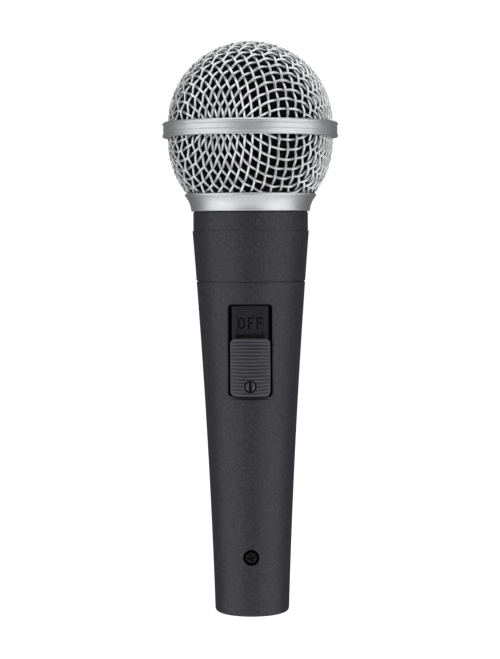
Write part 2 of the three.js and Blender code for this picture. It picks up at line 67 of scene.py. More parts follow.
HANDLE_TOP = extent("handle_body")[1].z
SLEEVE_TOP = extent("head_sleeve")[1].z
NECK_TOP_OF_THREAD = extent("neck_ring")[1].z
NECK_RADIUS = extent("neck_ring")[1].x
COLLAR_LOW, COLLAR_HIGH = extent("grille_collar")
BAND_LOW, BAND_HIGH = extent("grille_band")
DOME_LOW, DOME_HIGH = extent("upper_grille_mesh")
BOWL_LOW, BOWL_HIGH = extent("lower_grille_mesh")
BALL_RADIUS = DOME_HIGH.x
UPPER_CENTRE = DOME_HIGH.z - BALL_RADIUS
LOWER_CENTRE = 136.8                  # the ball is two halves, with the band's height between them
FOAM_RADIUS = extent("foam_liner")[1].x

# The handle's outline, as in its solid: radius = base + taper z + flare z squared.
BASE_RADIUS = 10.85
TAPER = 0.0312
FLARE = 0.000214


def handle_radius(z):
    return BASE_RADIUS + TAPER * z + FLARE * z * z


SET_SCREW_HEIGHT = 16.85
SWITCH_HEIGHT = 76.65
WINDOW = (12.5, 26.5)                 # across and along, as is SLIDER
WINDOW_MIDDLE = 0.1                   # along from the switch's own origin, as is SLIDER_MIDDLE
SLIDER = (11.5, 16.5)
SLIDER_MIDDLE = -4.7
SLIDER_PROUD = 0.9                    # how far its ends stand above the handle's surface
SLIDER_DISH = 0.6                     # how much lower its middle is than its ends
SLIDE_AXIS = next(Vector(j["axis"]) for j in frame["joints"] if j["name"] == "switch_slide")
SWITCH_ORIGIN = Vector((0, -handle_radius(SWITCH_HEIGHT), SWITCH_HEIGHT))
SWITCH_OUT = Vector((0, -SLIDE_AXIS.z, SLIDE_AXIS.y))


def on_switch(across, along, out):
    """A point of the switch's own frame: across the handle, up its slope and out from its surface."""
    return SWITCH_ORIGIN + Vector((across, 0, 0)) + SLIDE_AXIS * along + SWITCH_OUT * out


# ---- Camera, light and floor -----------------------------------------------------------------------

def make_camera():
    """In front, near the height of the handle's top, and looking a little down."""
    distance, height, aside = 0.550, 0.1117, -0.0002
    down, roll, round_from_front = math.radians(3.02), math.radians(0.25), math.radians(1.2)
    camera = bpy.data.objects.new("camera", bpy.data.cameras.new("camera"))
    bpy.context.scene.collection.objects.link(camera)
    camera.data.lens = 103.0
    camera.location = (distance * math.sin(round_from_front) + aside,
                       -distance * math.cos(round_from_front), height)
    camera.rotation_euler = (math.pi / 2 - down, roll, round_from_front)
    camera.data.clip_start = 0.01
    bpy.context.scene.camera = camera


def softbox(name, place, target, size, power):
    """A rectangular light that the camera doesn't see, in metres and watts."""
    light = bpy.data.lights.new(name, "AREA")
    light.shape = "RECTANGLE"
    light.size, light.size_y = size
    light.energy = power
    holder = bpy.data.objects.new(name, light)
    bpy.context.scene.collection.objects.link(holder)
    holder.location = place
    holder.rotation_euler = (Vector(target) - Vector(place)).to_track_quat("-Z", "Y").to_euler()
    holder.visible_camera = False


def make_lights():
    """Two tall boxes stand in front on either side, with softer ones above and below."""
    aside, ahead, height = 0.55, -0.57, 0.2
    for side, name in ((-aside, "left"), (aside, "right")):
        softbox(f"softbox_{name}", place=(side, ahead, height), target=(0, ahead, height),
                size=(1.18, 1.3), power=4.55)
    softbox("softbox_top", place=(0, -0.25, 0.9), target=(0, 0, 0), size=(1.2, 1.0), power=4.5)
    softbox("softbox_low", place=(0, -0.7, -0.35), target=(0, -0.7, 0), size=(1.4, 1.7), power=4.5)
    world = bpy.data.worlds.new("studio")
    bpy.context.scene.world = world
    world.use_nodes = True
    background = world.node_tree.nodes["Background"]
    background.inputs["Color"].default_value = (0.9, 0.93, 1.0, 1)
    background.inputs["Strength"].default_value = 0.10


def make_floor():
    """A round floor that sweeps up into a pale wall and a ceiling on all sides."""
    ground, flat, bend, eaves, ridge = -DATUM.z, 1500, 900, 3000, 3600
    profile = [(0, ground), (flat, ground)]
    profile += [(flat + bend * math.sin(a), ground + bend * (1 - math.cos(a)))
                for a in (math.radians(10 * i) for i in range(1, 10))]
    profile += [(flat + bend, eaves), (0, ridge)]
    sweep = revolve("studio_floor", profile, 64, closed=False)
    sweep.visible_glossy = False
    sweep.visible_diffuse = False
    sweep.visible_shadow = False
    pale = bpy.data.materials.new("pale_floor")
    pale.use_nodes = True
    shader = pale.node_tree.nodes["Principled BSDF"]
    shader.inputs["Base Color"].default_value = (0.5, 0.5, 0.5, 1)
    shader.inputs["Roughness"].default_value = 0.9
    shader.inputs["Specular IOR Level"].default_value = 0.0
    shader.inputs["Emission Color"].default_value = (1, 1, 1, 1)
    shader.inputs["Emission Strength"].default_value = 1.0
    sweep.data.materials.append(pale)


# ---- Mesh helpers ----------------------------------------------------------------------------------

def piece(name, vertices, faces, sharp_degrees=35):
    """An object from points in millimetres above the datum, smooth but for edges sharper than an angle."""
    mesh = bpy.data.meshes.new(name)
    mesh.from_pydata([(Vector(v) + DATUM) * MM for v in vertices], [], faces)
    mesh.update()
    body = bpy.data.objects.new(name, mesh)
    bpy.context.scene.collection.objects.link(body)
    smooth(body, sharp_degrees)
    return body


def smooth(body, sharp_degrees=35):
    body.data.polygons.foreach_set("use_smooth", [True] * len(body.data.polygons))
    body.data.set_sharp_from_angle(angle=math.radians(sharp_degrees))


def face_outward(body):
    mesh = bmesh.new()
    mesh.from_mesh(body.data)
    bmesh.ops.remove_doubles(mesh, verts=mesh.verts, dist=1e-7)
    bmesh.ops.recalc_face_normals(mesh, faces=mesh.faces)
    if mesh.calc_volume(signed=True) < 0:
        bmesh.ops.reverse_faces(mesh, faces=mesh.faces)
    mesh.to_mesh(body.data)
    mesh.free()
    smooth(body)


def revolve(name, profile, segments, closed=True):
    """A profile of (radius, height) points turned about Z."""
    rows = len(profile)
    vertices = [(r * math.cos(a), r * math.sin(a), z)
                for r, z in profile
                for a in (2 * math.pi * k / segments for k in range(segments))]
    faces = []
    for i in range(rows if closed else rows - 1):
        low, high = i * segments, ((i + 1) % rows) * segments
        for k in range(segments):
            after = (k + 1) % segments
            faces.append((low + k, low + after, high + after, high + k))
    body = piece(name, vertices, faces)
    face_outward(body)
    return body


def rounded(corners, steps=4):
    """A closed outline from (x, y, fillet radius) corners, with an arc at each corner that has one."""
    outline = []
    count = len(corners)
    for i, (x, y, radius) in enumerate(corners):
        corner = Vector((x, y))
        if radius <= 0:
            outline.append((x, y))
            continue
        before = (Vector(corners[i - 1][:2]) - corner).normalized()
        after = (Vector(corners[(i + 1) % count][:2]) - corner).normalized()
        half = before.angle(after) / 2
        reach = radius / math.tan(half)
        centre = corner + (before + after).normalized() * (radius / math.sin(half))
        start = corner + before * reach - centre
        end = corner + after * reach - centre
        turn = start.angle_signed(end)
        for k in range(steps + 1):
            spoke = start.copy()
            spoke.rotate(Matrix.Rotation(-turn * k / steps, 2))
            outline.append(tuple(centre + spoke))
    return outline


def carve(body, cutter):
    """Cuts a shape out of a piece and discards it."""
    modifier = body.modifiers.new("carve", "BOOLEAN")
    modifier.object = cutter
    modifier.solver = "MANIFOLD"
    evaluated = body.evaluated_get(bpy.context.evaluated_depsgraph_get())
    carved = bpy.data.meshes.new_from_object(evaluated)
    body.modifiers.clear()
    body.data = carved
    bpy.data.objects.remove(cutter)
    smooth(body)


def loft(name, rings):
    """A closed solid through rings that have the same number of points."""
    count = len(rings[0])
    vertices = [point for ring in rings for point in ring]
    faces = [tuple(range(count)), tuple(range(len(vertices) - count, len(vertices)))]
    for i in range(len(rings) - 1):
        low = i * count
        for k in range(count):
            after = (k + 1) % count
            faces.append((low + k, low + after, low + count + after, low + count + k))
    body = piece(name, vertices, faces)
    face_outward(body)
    return body


def circle(radius, sides=48):
    """Points of a circle about zero."""
    return [(radius * math.cos(a), radius * math.sin(a))
            for a in (2 * math.pi * k / sides for k in range(sides))]


def bar_along_y(name, height, stations):
    """A round bar from front to back through the handle's axis, by (radius, y) stations."""
    return loft(name, [[(x, y, height + z) for x, z in circle(r)] for r, y in stations])


def rounded_rectangle(width, length, radius, x=0.0, y=0.0, steps=6):
    """An outline about a middle point, with rounded corners."""
    half_w, half_l = width / 2, length / 2
    corners = [(x + sx * half_w, y + sy * half_l, radius)
               for sx, sy in ((1, -1), (1, 1), (-1, 1), (-1, -1))]
    return rounded(corners, steps)


def install(body, rides_on, slot, material, *replaced):
    """Gives a piece its body, its finish and the solids that it stands for. The slot is not used."""
    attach(body, rides_on)
    if replaced:
        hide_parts(*replaced)
    body.data.materials.clear()
    body.data.materials.append(material)


# ---- Materials -------------------------------------------------------------------------------------

class Finish:
    """A principled material with small helpers for its texture nodes."""

    def __init__(self, name, roughness, metallic=0.0, specular=0.5):
        self.material = bpy.data.materials.new(name)
        self.material.use_nodes = True
        self.nodes = self.material.node_tree.nodes
        self.links = self.material.node_tree.links
        self.shader = self.nodes["Principled BSDF"]
        self.shader.inputs["Metallic"].default_value = metallic
        self.shader.inputs["Specular IOR Level"].default_value = specular
        self.shader.inputs["Roughness"].default_value = roughness
        self.place = self.nodes.new("ShaderNodeTexCoord").outputs["Object"]
        self.normal = None

    def noise(self, size, detail=3.0, distortion=0.0, vector=None):
        """A noise whose features are about this many millimetres across."""
        node = self.nodes.new("ShaderNodeTexNoise")
        node.inputs["Scale"].default_value = 1 / (size * MM)
        node.inputs["Detail"].default_value = detail
        node.inputs["Distortion"].default_value = distortion
        self.links.new(vector or self.place, node.inputs["Vector"])
        return node.outputs["Fac"]

    def cells(self, size):
        node = self.nodes.new("ShaderNodeTexVoronoi")
        node.inputs["Scale"].default_value = 1 / (size * MM)
        self.links.new(self.place, node.inputs["Vector"])
        return node.outputs["Distance"]

    def turned(self):
        """Coordinates that are the same all the way round the axis, for lathe marks."""
        split = self.nodes.new("ShaderNodeSeparateXYZ")
        self.links.new(self.place, split.inputs[0])
        flat = self.nodes.new("ShaderNodeCombineXYZ")
        self.links.new(split.outputs["X"], flat.inputs["X"])
        self.links.new(split.outputs["Y"], flat.inputs["Y"])
        length = self.nodes.new("ShaderNodeVectorMath")
        length.operation = "LENGTH"
        self.links.new(flat.outputs[0], length.inputs[0])
        rings = self.nodes.new("ShaderNodeCombineXYZ")
        self.links.new(length.outputs["Value"], rings.inputs["X"])
        self.links.new(split.outputs["Z"], rings.inputs["Z"])
        return rings.outputs[0]

    def ramp(self, factor, low, high, start=0.3, end=0.7):
        """A factor turned into a colour, or a grey, between two values."""
        node = self.nodes.new("ShaderNodeValToRGB")
        stops = node.color_ramp.elements
        stops[0].position, stops[1].position = start, end
        for stop, value in zip(stops, (low, high)):
            stop.color = (value, value, value, 1) if isinstance(value, float) else (*value, 1)
        self.links.new(factor, node.inputs["Fac"])
        return node.outputs["Color"]

    def colour(self, factor, low, high, start=0.3, end=0.7):
        self.links.new(self.ramp(factor, low, high, start, end), self.shader.inputs["Base Color"])

    def rough(self, factor, low, high, start=0.3, end=0.7):
        self.links.new(self.ramp(factor, low, high, start, end), self.shader.inputs["Roughness"])

    def bump(self, height, depth):
        """Adds relief of this many millimetres, on top of any relief added before."""
        node = self.nodes.new("ShaderNodeBump")
        node.inputs["Distance"].default_value = depth * MM
        node.inputs["Strength"].default_value = 1.0
        self.links.new(height, node.inputs["Height"])
        if self.normal:
            self.links.new(self.normal, node.inputs["Normal"])
        self.normal = node.outputs["Normal"]
        self.links.new(self.normal, self.shader.inputs["Normal"])


def shade(colour, factor):
    return tuple(min(1.0, c * factor) for c in colour)


def powder_coat(name, colour):
    """Fine orange-peel grain with a faint mottle and small worn flecks."""
    finish = Finish(name, roughness=0.45, metallic=0.0, specular=0.46)
    finish.colour(finish.noise(0.6, detail=6), shade(colour, 0.35), shade(colour, 1.65), 0.25, 0.75)
    finish.rough(finish.noise(0.8, detail=4), 0.38, 0.5)
    finish.bump(finish.noise(0.32, detail=3), depth=0.035)
    finish.bump(finish.noise(1.6, detail=2), depth=0.03)
    return finish.material


def turned_metal(name, colour, roughness=0.3):
    """Satin metal with the fine rings that a lathe tool leaves."""
    finish = Finish(name, roughness=roughness, metallic=1.0)
    rings = finish.turned()
    finish.colour(finish.noise(5, detail=3), shade(colour, 0.93), shade(colour, 1.03))
    finish.rough(finish.noise(0.12, detail=2, vector=rings), roughness - 0.05, roughness + 0.08)
    finish.bump(finish.noise(0.09, detail=2, vector=rings), depth=0.004)
    return finish.material


def drawn_wire(name, colour):
    """Plated wire, slightly uneven in colour and polish."""
    finish = Finish(name, roughness=0.35, metallic=0.9)
    finish.colour(finish.noise(0.9, detail=4), shade(colour, 0.88), shade(colour, 1.05))
    finish.rough(finish.noise(0.5, detail=3), 0.32, 0.44)
    finish.bump(finish.noise(0.15, detail=3), depth=0.006)
    return finish.material


def open_foam(name, colour):
    """Black foam: small open cells over a soft, uneven surface, with painted shade that darkens each cell's pit.
    """
    finish = Finish(name, roughness=0.95, metallic=0.0, specular=0.15)
    cells = finish.cells(0.7)
    # painted shade: the colour darkens towards each cell's middle, where the bump below sinks it into a pit, and
    # lightens on the cell walls
    finish.colour(cells, shade(colour, 0.25), shade(colour, 1.6), 0.1, 0.6)
    finish.rough(finish.noise(3, detail=2), 0.9, 1.0)
    finish.bump(cells, depth=0.25)
    finish.bump(finish.noise(2.5, detail=3), depth=0.2)
    return finish.material


def moulded_plastic(name, colour, roughness=0.5, grain=0.012):
    """Plastic with a fine spark-eroded grain and slightly uneven gloss."""
    finish = Finish(name, roughness=roughness, metallic=0.0, specular=0.45)
    finish.colour(finish.noise(2.2, detail=4), shade(colour, 0.88), shade(colour, 1.12))
    finish.rough(finish.noise(0.9, detail=3), roughness - 0.06, roughness + 0.08)
    finish.bump(finish.noise(0.14, detail=3), depth=grain)
    return finish.material


def machined_metal(name, colour, roughness=0.3, grain=0.01):
    """Plain metal with fine scratches and patches of duller surface."""
    finish = Finish(name, roughness=roughness, metallic=1.0)
    finish.colour(finish.noise(1.5, detail=5), shade(colour, 0.8), shade(colour, 1.08))
    finish.rough(finish.noise(0.8, detail=4, distortion=0.6), roughness - 0.06, roughness + 0.14)
    finish.bump(finish.noise(0.12, detail=2), depth=grain)
    return finish.material


def soft_rubber(name, colour):
    finish = Finish(name, roughness=0.85, metallic=0.0, specular=0.3)
    finish.colour(finish.noise(1.8, detail=4), shade(colour, 0.8), shade(colour, 1.4))
    finish.rough(finish.noise(0.7, detail=3), 0.75, 0.95)
    finish.bump(finish.noise(0.2, detail=4), depth=0.02)
    return finish.material


def wound_wire(name, colour):
    """Fine enamelled wire in close level turns."""
    finish = Finish(name, roughness=0.3, metallic=0.8)
    rings = finish.turned()
    finish.colour(finish.noise(0.25, detail=1, vector=rings), shade(colour, 0.7), shade(colour, 1.15))
    finish.rough(finish.noise(0.8, detail=3), 0.22, 0.4)
    finish.bump(finish.noise(0.18, detail=0, vector=rings), depth=0.05)
    return finish.material


def pressed_felt(name, colour):
    finish = Finish(name, roughness=0.95, metallic=0.0, specular=0.2)
    finish.shader.inputs["Sheen Weight"].default_value = 0.4
    finish.colour(finish.noise(0.4, detail=6, distortion=1.5), shade(colour, 0.7), shade(colour, 1.15))
    finish.rough(finish.noise(1.2, detail=3), 0.88, 1.0)
    finish.bump(finish.noise(0.25, detail=5, distortion=2.0), depth=0.06)
    return finish.material


MATERIALS = {
    "handle_coat": powder_coat("charcoal_coat", (0.030, 0.0282, 0.0362)),
    "black_coat": powder_coat("black_coat", (0.029, 0.0276, 0.035)),
    "satin_metal": turned_metal("satin_turned", (0.78, 0.795, 0.80), 0.43),
    "woven_wire": drawn_wire("silver_wire", (0.87, 0.89, 0.895)),
    "foam": open_foam("black_foam", (0.0035, 0.0028, 0.0028)),
    "black_plastic": moulded_plastic("black_plastic", (0.0085, 0.0078, 0.0105)),
    "grey_plastic": moulded_plastic("grey_plastic", (0.074, 0.070, 0.081), 0.4),
    "rubber": soft_rubber("black_rubber", (0.016, 0.016, 0.016)),
    "brass": machined_metal("machined_brass", (0.74, 0.55, 0.24)),
    "silver_contact": machined_metal("silver_plate", (0.84, 0.83, 0.80), 0.2, 0.004),
    "dark_screw": machined_metal("blackened_steel", (0.034, 0.034, 0.036), 0.42),
    "grey_screw": powder_coat("grey_enamel", (0.066, 0.063, 0.073)),
    "steel": machined_metal("zinc_plated_steel", (0.58, 0.58, 0.60), 0.35),
    "magnet": machined_metal("nickel_plate", (0.50, 0.49, 0.47), 0.25),
    "copper_wire": wound_wire("enamelled_copper", (0.72, 0.32, 0.14)),
    "film": moulded_plastic("polyester_film", (0.72, 0.63, 0.38), 0.22, 0.004),
    "felt": pressed_felt("pressed_felt", (0.52, 0.49, 0.43)),
    "board": moulded_plastic("paper_laminate", (0.24, 0.14, 0.06), 0.6, 0.02),
    "lead_red": moulded_plastic("red_insulation", (0.42, 0.03, 0.03), 0.35, 0.006),
    "lead_yellow": moulded_plastic("yellow_insulation", (0.62, 0.46, 0.06), 0.35, 0.006),
    "lead_blue": moulded_plastic("blue_insulation", (0.04, 0.09, 0.34), 0.35, 0.006),
}


def finish_solids():
    """Every solid gets its slot's material; those that a finer piece replaces are hidden later."""
    slots = {s["node"]: s["material_slot"] for s in frame["record"]["subparts"]}
    for name, node in NODES.items():
        node.data.materials.clear()
        node.data.materials.append(MATERIALS[slots[name]])


# ---- Woven grille ----------------------------------------------------------------------------------

WIRE_RADIUS = 0.36
WEAVE_PITCH = 2.78
CRIMP = 0.37                         # how far a wire swings either side of the cloth's middle
CLOTH_TURN = math.radians(28)         # the cloth's square directions, round from the front
STEPS_PER_CELL = 6
WIRE_SIDES = 8


def cloth_knots(reach, pitch):
    """Where the wires of a square cloth cross when it is pressed over a ball of radius 1.

    Wires keep their spacing along each other and shear where they cross. The two middle wires are
    great circles through the pole, and each further knot closes a rhombus on the ball.
    """
    count = int(reach / pitch) + 3
    quarter = {}
    for i in range(count):
        bend = i * pitch
        quarter[i, 0] = Vector((math.sin(bend), 0, math.cos(bend)))
        quarter[0, i] = Vector((0, math.sin(bend), math.cos(bend)))
    for i in range(1, count):
        for j in range(1, count):
            corner, left, right = (quarter.get(key) for key in ((i - 1, j - 1), (i - 1, j), (i, j - 1)))
            if corner is None or left is None or right is None or corner.z < math.cos(reach + pitch):
                continue
            fold = right.cross(left).normalized()
            quarter[i, j] = corner - 2 * corner.dot(fold) * fold
    knots = {}
    for (i, j), point in quarter.items():
        for _ in range(4):
            knots[i, j] = point
            i, j = -j, i
            point = Vector((-point.y, point.x, point.z))
    return knots


def wire_runs(knots, radius, low, high):
    """Each wire's middle line, as (point, outward) samples, cut to a range of angles from the pole."""
    span = max(i for i, _ in knots)
    runs = []
    for family in (0, 1):
        for j in range(-span, span + 1):
            run = []
            for i in range(-span, span):
                keys = [(i + k, j) if family == 0 else (j, i + k) for k in (-1, 0, 1, 2)]
                if keys[1] not in knots or keys[2] not in knots:
                    continue
                a, b = knots[keys[1]], knots[keys[2]]
                before, after = knots.get(keys[0], 2 * a - b), knots.get(keys[3], 2 * b - a)
                over = 1 if (i + j + family) % 2 == 0 else -1
                for k in range(STEPS_PER_CELL):
                    t = k / STEPS_PER_CELL
                    outward = 0.5 * (2 * a + (b - before) * t
                                     + (2 * before - 5 * a + 4 * b - after) * t ** 2
                                     + (3 * a - before - 3 * b + after) * t ** 3)
                    outward.normalize()
                    angle = math.acos(max(-1.0, min(1.0, outward.z)))
                    if low <= angle <= high:
                        height = radius + over * CRIMP * math.cos(math.pi * t)
                        run.append((outward * height, outward))
                    elif run:
                        runs.append(run)
                        run = []
            if run:
                runs.append(run)
    return [run for run in runs if len(run) > STEPS_PER_CELL // 2]


def woven_cloth(name, centre, pole, low, high):
    """Two families of crimped round wires, pressed over a ball about a pole up (1) or down (-1)."""
    radius = BALL_RADIUS - CRIMP - WIRE_RADIUS
    knots = cloth_knots(high, WEAVE_PITCH / radius)
    turn = Matrix.Rotation(CLOTH_TURN - math.pi / 2, 3, "Z")
    vertices, faces = [], []
    for run in wire_runs(knots, radius, low, high):
        points = [turn @ Vector((p.x, p.y, pole * p.z)) for p, _ in run]
        outwards = [turn @ Vector((n.x, n.y, pole * n.z)) for _, n in run]
        first = len(vertices)
        for i, (point, outward) in enumerate(zip(points, outwards)):
            ahead = points[min(i + 1, len(points) - 1)] - points[max(i - 1, 0)]
            ahead.normalize()
            side = ahead.cross(outward).normalized()
            up = side.cross(ahead)
            for k in range(WIRE_SIDES):
                angle = 2 * math.pi * k / WIRE_SIDES
                spoke = math.cos(angle) * up + math.sin(angle) * side
                vertices.append(point + WIRE_RADIUS * spoke + Vector((0, 0, centre)))
        for i in range(len(points) - 1):
            low_ring = first + i * WIRE_SIDES
            for k in range(WIRE_SIDES):
                after = (k + 1) % WIRE_SIDES
                faces.append((low_ring + k, low_ring + after,
                              low_ring + WIRE_SIDES + after, low_ring + WIRE_SIDES + k))
        faces.append(tuple(range(first, first + WIRE_SIDES)))
        faces.append(tuple(range(len(vertices) - WIRE_SIDES, len(vertices))))
    cloth = piece(name, vertices, faces, 60)
    face_outward(cloth)
    return cloth


def make_grille():
    metal = MATERIALS["woven_wire"]
    rim_drop = math.asin((UPPER_CENTRE - DOME_LOW.z) / BALL_RADIUS)
    dome = woven_cloth("upper_wire_cloth", UPPER_CENTRE, 1, 0.0, math.pi / 2 + rim_drop)
    install(dome, "grille", "woven_wire", metal, "upper_grille_mesh")
    collar_angle = math.acos((LOWER_CENTRE - BOWL_LOW.z) / BALL_RADIUS)
    rim_rise = math.asin((BOWL_HIGH.z - LOWER_CENTRE) / BALL_RADIUS)
    bowl = woven_cloth("lower_wire_cloth", LOWER_CENTRE, -1, collar_angle, math.pi / 2 + rim_rise)
    install(bowl, "grille", "woven_wire", metal, "lower_grille_mesh")


def make_band():
    """A turned ring with a raised lip along each edge, and two fine grooves between the lips."""
    skirt_lift, lip_rise, play = 0.2, 0.2, 0.3
    lower_lip, upper_lip, edge, bevel = 0.8, 0.85, 0.25, 0.4
    lower_groove, upper_groove = 0.85, 0.45
    groove_depth, groove_half = 0.2, 0.2
    web, web_low, web_high = 22.9, 139.2, 139.9
    crisp, soft = 0.05, 0.1
    low, high, rim = BAND_LOW.z + skirt_lift, BAND_HIGH.z, BAND_HIGH.x
    face, bore = rim - lip_rise, BALL_RADIUS + play
    lower, upper = low + lower_lip, high - upper_lip

    def groove(z):
        return [(face, z - groove_half, 0), (face - groove_depth, z, 0), (face, z + groove_half, 0)]

    profile = rounded([
        (bore, low, soft), (rim - edge, low, soft), (rim, low + edge, 0.08), (rim, lower - crisp, crisp),
        (face, lower + soft, crisp), *groove(lower + lower_groove), *groove(upper - upper_groove),
        (face, upper - soft, crisp), (rim, upper, crisp), (rim, high - bevel - crisp, soft),
        (rim - bevel, high - soft, 0.15), (bore, high, soft),
        (bore, web_high, 0), (web, web_high, soft), (web, web_low, soft), (bore, web_low, 0)])
    band = revolve("turned_band", profile, 192)
    install(band, "grille", "satin_metal", MATERIALS["satin_metal"], "grille_band")


def make_collar():
    """A ring that sweeps out to a thin lip, in which the lower wire cloth sits."""
    lip_rise, lip_height, lip_wall, floor_depth = 0.25, 0.6, 0.4, 0.8
    foot, bore, cup, sweep_steps = 17.3, 16.3, 18.3, 12
    crisp, soft, foot_fillet = 0.08, 0.1, 0.28
    low, high, lip = COLLAR_LOW.z, COLLAR_HIGH.z + lip_rise, COLLAR_HIGH.x
    under_lip, floor = high - lip_height, high - floor_depth
    flare = [(foot + (lip - foot) * (k / sweep_steps) ** 2, low + (under_lip - low) * k / sweep_steps, 0)
             for k in range(1, sweep_steps)]
    profile = rounded([
        (bore, low, soft), (foot, low, foot_fillet), *flare, (lip, under_lip, crisp),
        (lip, high - lip_rise, soft), (lip - lip_wall / 2, high, crisp), (lip - lip_wall, high, 0.05),
        (cup, floor, 0), (bore, floor, soft)])
    collar = revolve("turned_collar", profile, 192)
    install(collar, "grille", "satin_metal", MATERIALS["satin_metal"], "grille_collar")


def make_foam():
    """A soft shell just inside the wire, open below for the neck."""
    thickness = 3.0
    lowest, pole = math.radians(-39), math.radians(89.5)

    def arc(radius, centre, start, end, steps):
        angles = [start + (end - start) * k / steps for k in range(steps + 1)]
        return [(radius * math.cos(a), centre + radius * math.sin(a)) for a in angles]

    outside, inside = FOAM_RADIUS, FOAM_RADIUS - thickness
    profile = [*arc(outside, LOWER_CENTRE, lowest, 0, 24), *arc(outside, UPPER_CENTRE, 0, pole, 48),
               *arc(inside, UPPER_CENTRE, pole, 0, 24), *arc(inside, LOWER_CENTRE, 0, lowest, 12)]
    liner = revolve("foam_windscreen", profile, 144)
    install(liner, "grille_lift", "foam", MATERIALS["foam"], "foam_liner")


# ---- Handle ----------------------------------------------------------------------------------------

def surface_depth(across, along):
    """How far out from the switch frame's plane the handle's surface lies at a point."""
    out = 0.0
    for _ in range(8):
        point = on_switch(across, along, out)
        out -= math.hypot(point.x, point.y) - handle_radius(point.z)
    return out


def window_cutter():
    """The switch window, with a small rounded lip that follows the handle's surface."""
    corner, lip_width, lip_depth = 1.0, 0.75, 0.4
    clear, overlap, floor = 2.0, 0.08, -7
    start = -10                       # degrees: just outside the lip, so that the cut leaves no skin

    def outline(grow):
        return rounded_rectangle(WINDOW[0] + 2 * grow, WINDOW[1] + 2 * grow, corner + grow,
                                 0, WINDOW_MIDDLE, 8)

    widest = lip_width * (1 - math.sin(math.radians(start)))
    rings = [[on_switch(x, y, clear) for x, y in outline(widest)],
             [on_switch(x, y, surface_depth(x, y) + overlap) for x, y in outline(widest)]]
    for degrees in (20, 40, 60, 75, 90):
        angle = math.radians(degrees)
        grow, drop = lip_width * (1 - math.sin(angle)), lip_depth * (1 - math.cos(angle))
        rings.append([on_switch(x, y, surface_depth(x, y) - drop) for x, y in outline(grow)])
    rings.append([on_switch(x, y, floor) for x, y in outline(0)])
    return loft("window_cutter", rings)


def smooth_round_surface(body):
    """Gives the handle's round outside its exact normals, which the carving disturbs."""
    nearly_square, nearly_on = 0.9995, 0.02

    def exact_normal(place):
        radial = Vector((place.x, place.y, 0)).normalized()
        return (radial - Vector((0, 0, TAPER + 2 * FLARE * place.z))).normalized()

    mesh = body.data
    normals = [Vector(n.vector) for n in mesh.corner_normals]
    for face in mesh.polygons:
        centre = face.center / MM - DATUM
        if exact_normal(centre).dot(face.normal) < nearly_square:
            continue
        if abs(math.hypot(centre.x, centre.y) - handle_radius(centre.z)) > nearly_on:
            continue
        for corner in face.loop_indices:
            vertex = mesh.vertices[mesh.loops[corner].vertex_index]
            normals[corner] = exact_normal(vertex.co / MM - DATUM)
    mesh.normals_split_custom_set(normals)


def make_handle():
    """The tapered shell, with its socket, keyway, switch window and set-screw hole."""
    wall, rim_fillet, rows = 2.0, 1.1, 90
    socket_radius, socket_top, socket_shoulder = 8.15, 26.3, 9.1
    spigot_bore, spigot_seat = 13.7, 91.2
    cavity_top, crisp, soft = 90.9, 0.12, 0.2
    rim = -DATUM.z
    foot, shoulder = rim + rim_fillet, HANDLE_TOP - 0.4
    side = [(handle_radius(z), z, 0)
            for z in (foot + (shoulder - foot) * k / rows for k in range(rows + 1))]
    inside = [(handle_radius(z) - wall, z, 0) for z in (cavity_top, 75, 60, 45, 30)]
    profile = rounded([
        (socket_radius, rim, 0.35), (handle_radius(rim), rim, rim_fillet * 0.95), *side,
        (handle_radius(HANDLE_TOP), HANDLE_TOP, crisp), (spigot_bore, HANDLE_TOP, soft),
        (spigot_bore, spigot_seat, 0), *inside, (socket_shoulder, socket_top, 0),
        (socket_radius, socket_top, soft)], 6)
    handle = revolve("handle_shell", profile, 180)
    carve(handle, window_cutter())
    carve(handle, screw_hole())
    key_half, key_inner, key_outer, key_top = 1.5, 7, 9.25, 12.5
    key = [(-key_half, key_inner), (key_half, key_inner), (key_half, key_outer), (-key_half, key_outer)]
    carve(handle, loft("keyway", [[(x, y, z) for x, y in key] for z in (-2, key_top)]))
    smooth_round_surface(handle)
    install(handle, "handle", "handle_coat", MATERIALS["handle_coat"], "handle_body")


def screw_hole():
    """A round hole for the set screw, eased where it meets the surface."""
    radius, deep = 2.33, 5
    surface = -handle_radius(SET_SCREW_HEIGHT)
    eased = [(3.0, -0.4), (2.62, 0.02), (2.4, 0.18), (radius, 0.4), (radius, deep)]
    return bar_along_y("screw_hole", SET_SCREW_HEIGHT, [(r, surface + depth) for r, depth in eased])


def make_sleeve():
    """The sleeve, with a shallow groove where its shoulder meets the handle."""
    low, rows, groove_depth = 96.6, 12, 0.3
    spigot_foot, spigot, bore = 91.5, 13.4, 12.2
    cup, cup_floor, cup_foot = 14.2, 99, 96.9
    lowest, highest = low + 0.5, SLEEVE_TOP - 0.4
    side = [(handle_radius(z), z, 0)
            for z in (lowest + (highest - lowest) * k / rows for k in range(rows + 1))]
    groove = handle_radius(low) - groove_depth
    profile = rounded([
        (bore, spigot_foot, 0.1), (spigot, spigot_foot, 0.1), (spigot, HANDLE_TOP, 0),
        (groove, HANDLE_TOP, 0), (groove, low - 0.1, 0), (handle_radius(low), low, 0.08), *side,
        (handle_radius(SLEEVE_TOP), SLEEVE_TOP, 0.12), (cup, SLEEVE_TOP, 0.1), (cup, cup_floor, 0),
        (bore, cup_foot, 0)])
    sleeve = revolve("sleeve_shell", profile, 180)
    install(sleeve, "handle", "black_coat", MATERIALS["black_coat"], "head_sleeve")


